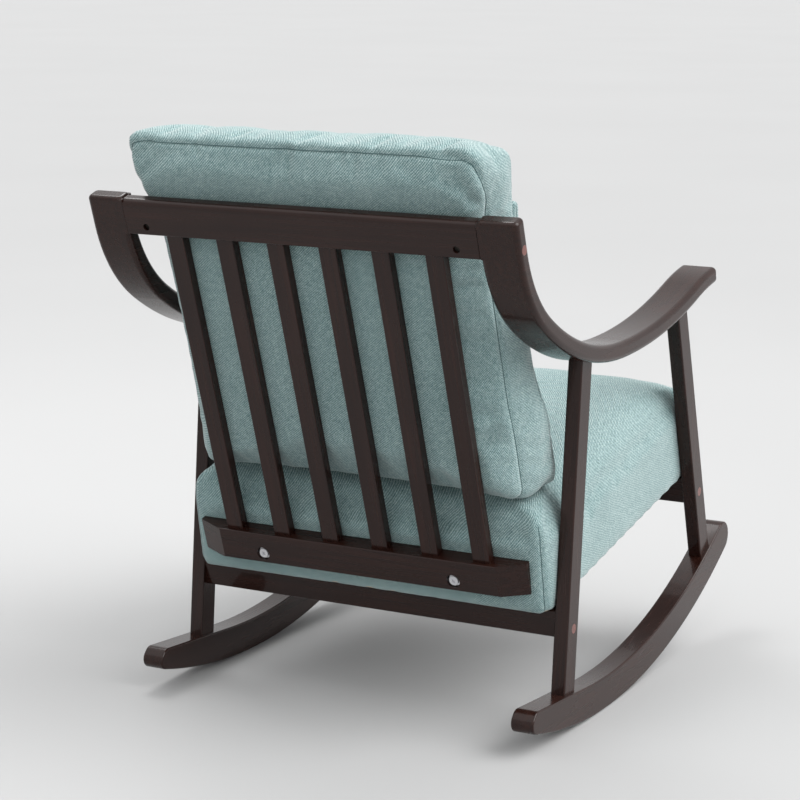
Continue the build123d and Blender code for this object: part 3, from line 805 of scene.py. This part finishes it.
def evened(line, reach=6):
    """The line with each point moved to the average of its neighbours."""
    rows = np.array(line)
    padded = np.concatenate([rows[:1]] * reach + [rows] + [rows[-1:]] * reach)
    kernel = np.ones(2 * reach + 1) / (2 * reach + 1)
    return [Vector(p) for p in np.stack([np.convolve(c, kernel, "valid") for c in padded.T], 1)]


BELL = 2.718  # base of the bell curve that is a groove's cross-section


def sink(piece, grooves):
    """Press soft grooves into a piece, each a line of points with a width and a depth."""
    skin = skin_of(piece)
    points = points_of(piece.data)
    normals = np.empty(points.size)
    piece.data.vertices.foreach_get("normal", normals)
    normals = normals.reshape(-1, 3)
    pressed = points.copy()
    for line, width, depth in grooves:
        laid = on_surface(skin, evened(on_surface(skin, line)))
        tree = search_tree(laid)
        low, high = np.min(laid, axis=0) - 3 * width, np.max(laid, axis=0) + 3 * width
        for v in np.nonzero(np.all((points > low) & (points < high), axis=1))[0]:
            _, index, near = tree.find(points[v])
            if near < 3 * width:
                amount = depth(index / (len(laid) - 1)) if callable(depth) else depth
                pressed[v] -= normals[v] * amount * BELL ** (-((near / width) ** 2))
    set_points(piece.data, pressed)


def line_between(start, end, count=120):
    """Points along a straight line."""
    return [start.lerp(end, t) for t in np.linspace(0, 1, count)]


def tapered(depth):
    """A depth that fades to nothing at both ends of a line."""
    return lambda t: depth * sin(pi * min(1, max(0, t))) ** 0.7


# %% [markdown]
# Creases on the rear panel are told across and up the back. Those on the top band are told across
# and forward of the cushion's rear edge, and the seat's dents across and up its rear face.

# %% Creases of the cushion and dents of the seat
CUSHION_CREASES = [
    ((0.005, 0.648), (0.012, 0.585), 0.006, 0.0060),
    ((0.010, 0.640), (0.045, 0.590), 0.012, 0.0045),
    ((-0.078, 0.642), (-0.070, 0.615), 0.005, 0.0040),
    ((-0.096, 0.642), (-0.092, 0.590), 0.006, 0.0045),
    ((-0.128, 0.640), (-0.140, 0.600), 0.010, 0.0030),
    ((-0.240, 0.625), (-0.268, 0.560), 0.009, 0.0060),
    ((-0.205, 0.648), (-0.262, 0.640), 0.006, 0.0050),
    ((0.225, 0.640), (0.262, 0.605), 0.009, 0.0045),
    ((0.160, 0.642), (0.150, 0.620), 0.005, 0.0030),
    ((-0.262, 0.235), (-0.205, 0.190), 0.012, 0.0050),
]
BAND_CREASES = [
    ((0.215, 0.010), (0.200, 0.060), 0.006, 0.0035),
    ((0.105, 0.006), (0.085, 0.050), 0.006, 0.0030),
    ((0.000, 0.004), (-0.025, 0.070), 0.007, 0.0050),
    ((-0.115, 0.004), (-0.140, 0.060), 0.007, 0.0040),
    ((-0.215, 0.004), (-0.235, 0.050), 0.006, 0.0040),
]
SEAT_DENTS = [
    ((0.20, 0.128), (0.08, 0.140), 0.020, 0.008),
    ((0.06, 0.126), (-0.05, 0.140), 0.020, 0.008),
    ((-0.08, 0.124), (-0.17, 0.136), 0.018, 0.007),
    ((-0.20, 0.112), (-0.27, 0.122), 0.013, 0.006),
]


def grooves_from(table, start_at, end_at):
    """Turn rows of start, end, width and depth into tapered grooves."""
    return [
        (line_between(start_at(*start), end_at(*end)), width, tapered(depth))
        for start, end, width, depth in table
    ]


def on_rear_panel(x, up):
    return on_back(x, BACK_BASE + up, CUSHION_REAR)


def above_band(x, inward):
    return on_back(x, CUSHION_TOP + 0.02, CUSHION_REAR + inward)


def on_band(x, inward):
    return on_back(x, CUSHION_TOP, CUSHION_REAR + inward)


def on_seat_rear(x, up):
    return on_seat(x, SEAT_REAR, SEAT_LOW + up)


cushion_grooves = grooves_from(CUSHION_CREASES, on_rear_panel, on_rear_panel)
cushion_grooves += grooves_from(BAND_CREASES, above_band, on_band)
seat_grooves = grooves_from(SEAT_DENTS, on_seat_rear, on_seat_rear)

for piece, grooves, seams, width, depth in (
    (seat_piece, seat_grooves, seat_seams, 0.0035, 0.0014),
    (cushion_piece, cushion_grooves, cushion_seams, 0.0040, 0.0030),
    (pillow_piece, [], [pillow_seam], 0.0040, 0.0012),
):
    sink(piece, grooves)
    sink(piece, [(seam, width, depth) for seam in seams])
    print(piece.name, "has", len(grooves), "creases and", len(seams), "seams")

# %% [markdown]
# ## Seams: painted shade and stitches
# A seam shows as a thin dark line of shade in its groove, with short stitches along it. Both follow the same path,
# so
# Geometry Nodes make them: one branch gives the path a thin round dark tube, which paints that shade, the other
# puts a small bead at even steps along it. The path itself is only a chain of edges, laid on the finished skin.

# %% Tree for the painted seam shade and the stitches
STITCH_STEP = 0.0046
STITCH_SIZE = (0.0005, 0.0005, 0.0013)
# The radius of the dark tube that paints the shade along each seam.
SEAM_SHADE_RADIUS = 0.0006


def seam_shade_and_stitch_tree():
    """Geometry Nodes: a chain of edges becomes a dark tube of painted seam shade, with stitch beads along it."""
    tree = bpy.data.node_groups.new("seam_shade_and_stitches", "GeometryNodeTree")
    face = tree.interface
    face.new_socket(name="Path", in_out="INPUT", socket_type="NodeSocketGeometry")
    step = face.new_socket(name="Step", in_out="INPUT", socket_type="NodeSocketFloat")
    radius = face.new_socket(name="Painted seam shade radius", in_out="INPUT", socket_type="NodeSocketFloat")
    cloth = face.new_socket(name="Seam shade and thread", in_out="INPUT", socket_type="NodeSocketMaterial")
    face.new_socket(name="Seam", in_out="OUTPUT", socket_type="NodeSocketGeometry")

    def node(kind, inputs=None, **settings):
        made = tree.nodes.new(kind)
        for key, value in settings.items():
            setattr(made, key, value)
        for key, value in (inputs or {}).items():
            if isinstance(value, bpy.types.NodeSocket):
                tree.links.new(value, made.inputs[key])
            else:
                made.inputs[key].default_value = value
        return made

    given = node("NodeGroupInput").outputs
    path = node("GeometryNodeMeshToCurve", {"Mesh": given["Path"]}).outputs[0]
    even = node(
        "GeometryNodeResampleCurve", {"Curve": path, "Length": given["Step"]}, mode="LENGTH"
    ).outputs[0]
    spots = node("GeometryNodeCurveToPoints", {"Curve": even}, mode="EVALUATED").outputs
    bead = node("GeometryNodeMeshUVSphere", {"Segments": 6, "Rings": 4, "Radius": 1.0}).outputs[0]
    beads = node(
        "GeometryNodeInstanceOnPoints",
        {
            "Points": spots["Points"],
            "Instance": bead,
            "Rotation": spots["Rotation"],
            "Scale": STITCH_SIZE,
        },
    ).outputs[0]
    ring = node("GeometryNodeCurvePrimitiveCircle", {"Resolution": 6, "Radius": given["Painted seam shade radius"]})
    # The thin tube along the path is a painted shade line in the seam's groove.
    line = node(
        "GeometryNodeCurveToMesh", {"Curve": even, "Profile Curve": ring.outputs[0]}
    ).outputs[0]
    both = node("GeometryNodeJoinGeometry")
    tree.links.new(beads, both.inputs[0])
    tree.links.new(line, both.inputs[0])
    real = node("GeometryNodeRealizeInstances", {0: both.outputs[0]}).outputs[0]
    done = node("GeometryNodeSetMaterial", {"Geometry": real, "Material": given["Seam shade and thread"]}).outputs[0]
    tree.links.new(done, node("NodeGroupOutput").inputs[0])
    return tree, {"step": step.identifier, "radius": radius.identifier, "cloth": cloth.identifier}


SEAM_SHADE_AND_STITCHES, SEAM_SHADE_AND_STITCH_INPUTS = seam_shade_and_stitch_tree()


def sew_with_seam_shade(name, piece, seams):
    """Lay a chain of edges on the skin and turn it into a dark tube of painted seam shade and stitches."""
    skin = skin_of(piece)
    points, edges = [], []
    for seam in seams:
        laid = on_surface(skin, evened(on_surface(skin, seam)), -0.0001)
        edges += [(len(points) + i, len(points) + i + 1) for i in range(len(laid) - 1)]
        points += laid
    mesh = bpy.data.meshes.new(name)
    mesh.from_pydata(points, edges, [])
    seam_shade_piece = link(name, mesh)
    maker = seam_shade_piece.modifiers.new("seam_shade_and_stitches", "NODES")
    maker.node_group = SEAM_SHADE_AND_STITCHES
    maker[SEAM_SHADE_AND_STITCH_INPUTS["step"]] = STITCH_STEP
    maker[SEAM_SHADE_AND_STITCH_INPUTS["radius"]] = SEAM_SHADE_RADIUS
    maker[SEAM_SHADE_AND_STITCH_INPUTS["cloth"]] = seam_shade_and_stitching
    apply_modifiers(seam_shade_piece)
    print(name, len(seam_shade_piece.data.polygons), "faces")
    return seam_shade_piece


# Each seam object holds a dark tube of painted seam shade and the stitch beads.
seat_seam_shade = sew_with_seam_shade("seat_seam_shade_and_stitching", seat_piece, seat_seams)
cushion_seam_shade = sew_with_seam_shade("back_cushion_seam_shade_and_stitching", cushion_piece, cushion_seams)
pillow_seam_shade = sew_with_seam_shade("scatter_cushion_seam_shade_and_stitching", pillow_piece, [pillow_seam])

# %% [markdown]
# ## Which body each piece moves with
# The chair's frame is one body and each loose cushion is another. The seat goes with the frame.
# The CAD solids that each new piece stands for are hidden.

# %% Ride and replace
for piece in (seat_piece, cushion_piece, pillow_piece):
    piece.data.materials.clear()
    piece.data.materials.append(upholstery)
    for polygon in piece.data.polygons:
        polygon.use_smooth = True

for piece, seam_shade_piece, body, hidden, fill in (
    (seat_piece, seat_seam_shade, "frame", ("seat_cover", "seat_foam"), 0.95),
    (cushion_piece, cushion_seam_shade, "back_cushion", ("back_cushion_cover", "back_cushion_core"), 0.8),
    (pillow_piece, pillow_seam_shade, "throw_pillow", ("throw_pillow_cover", "throw_pillow_core"), 0.7),
):
    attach(piece, body)
    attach(seam_shade_piece, body)
    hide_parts(*hidden)

# %% [markdown]
# ## Floor, light and camera
# A plain pale floor runs far back, so it also serves as the background. A wide soft light comes
# from the side of the chair, a wider one from above, and the sky fills in.


# %% Studio
def add_sun(name, place, angle, strength):
    """A distant soft light that shines from a place toward the origin."""
    data = bpy.data.lights.new(name, "SUN")
    data.angle = radians(angle)
    data.energy = strength
    light = link(name, data)
    light.location = place
    light.rotation_euler = Vector(place).to_track_quat("Z", "Y").to_euler()


FLOOR_HALF = 60.0
floor_mesh = bpy.data.meshes.new("floor")
floor_mesh.from_pydata(
    [(x * FLOOR_HALF, y * FLOOR_HALF, 0) for x, y in ((-1, -1), (1, -1), (1, 1), (-1, 1))],
    [],
    [(0, 1, 2, 3)],
)
floor = link("floor", floor_mesh)
paper = Finish("pale_floor", Specular_IOR_Level=0.2)
floor.data.materials.append(
    paper.feed(
        Base_Color=paper.ramp(paper.cloud(0.8, 2.0), (0.2, (0.40, 0.40, 0.40)), (0.8, (0.415, 0.415, 0.415))),
        Roughness=0.55,
    )
)

add_sun("key", (-3.2, -0.7, 2.9), 55, 3.25)
add_sun("top", (-0.5, 0.8, 4.2), 100, 1.1)

# A softbox overhead puts the pale line along the rounded top of the rail.
SOFTBOX_AIM = Vector((0, 0.2, 0.6))
softbox_data = bpy.data.lights.new("softbox", "AREA")
softbox_data.size = 1.3
softbox_data.energy = 32
softbox = link("softbox", softbox_data)
softbox.location = (1.4, -0.9, 3.1)
softbox.rotation_euler = (softbox.location - SOFTBOX_AIM).to_track_quat("Z", "Y").to_euler()

sky = bpy.data.worlds.new("studio")
sky.use_nodes = True
sky.node_tree.nodes["Background"].inputs["Color"].default_value = (0.94, 0.945, 0.95, 1)
sky.node_tree.nodes["Background"].inputs["Strength"].default_value = 0.88
bpy.context.scene.world = sky
bpy.context.scene.view_settings.view_transform = "Standard"

# %% [markdown]
# The camera stands behind the chair and to one side, a little above its back, and looks down at it
# through a long lens.

# %% Camera
camera_data = bpy.data.cameras.new("camera")
camera_data.sensor_width = 36.0
camera_data.lens = 105.75
camera_data.clip_end = 200
camera = link("camera", camera_data)
camera.location = (-1.6234, 3.1374, 1.1426)
camera.rotation_euler = Vector((0.4635, -0.8631, -0.2004)).to_track_quat("-Z", "Y").to_euler()
bpy.context.scene.camera = camera
print("camera at", tuple(camera.location))
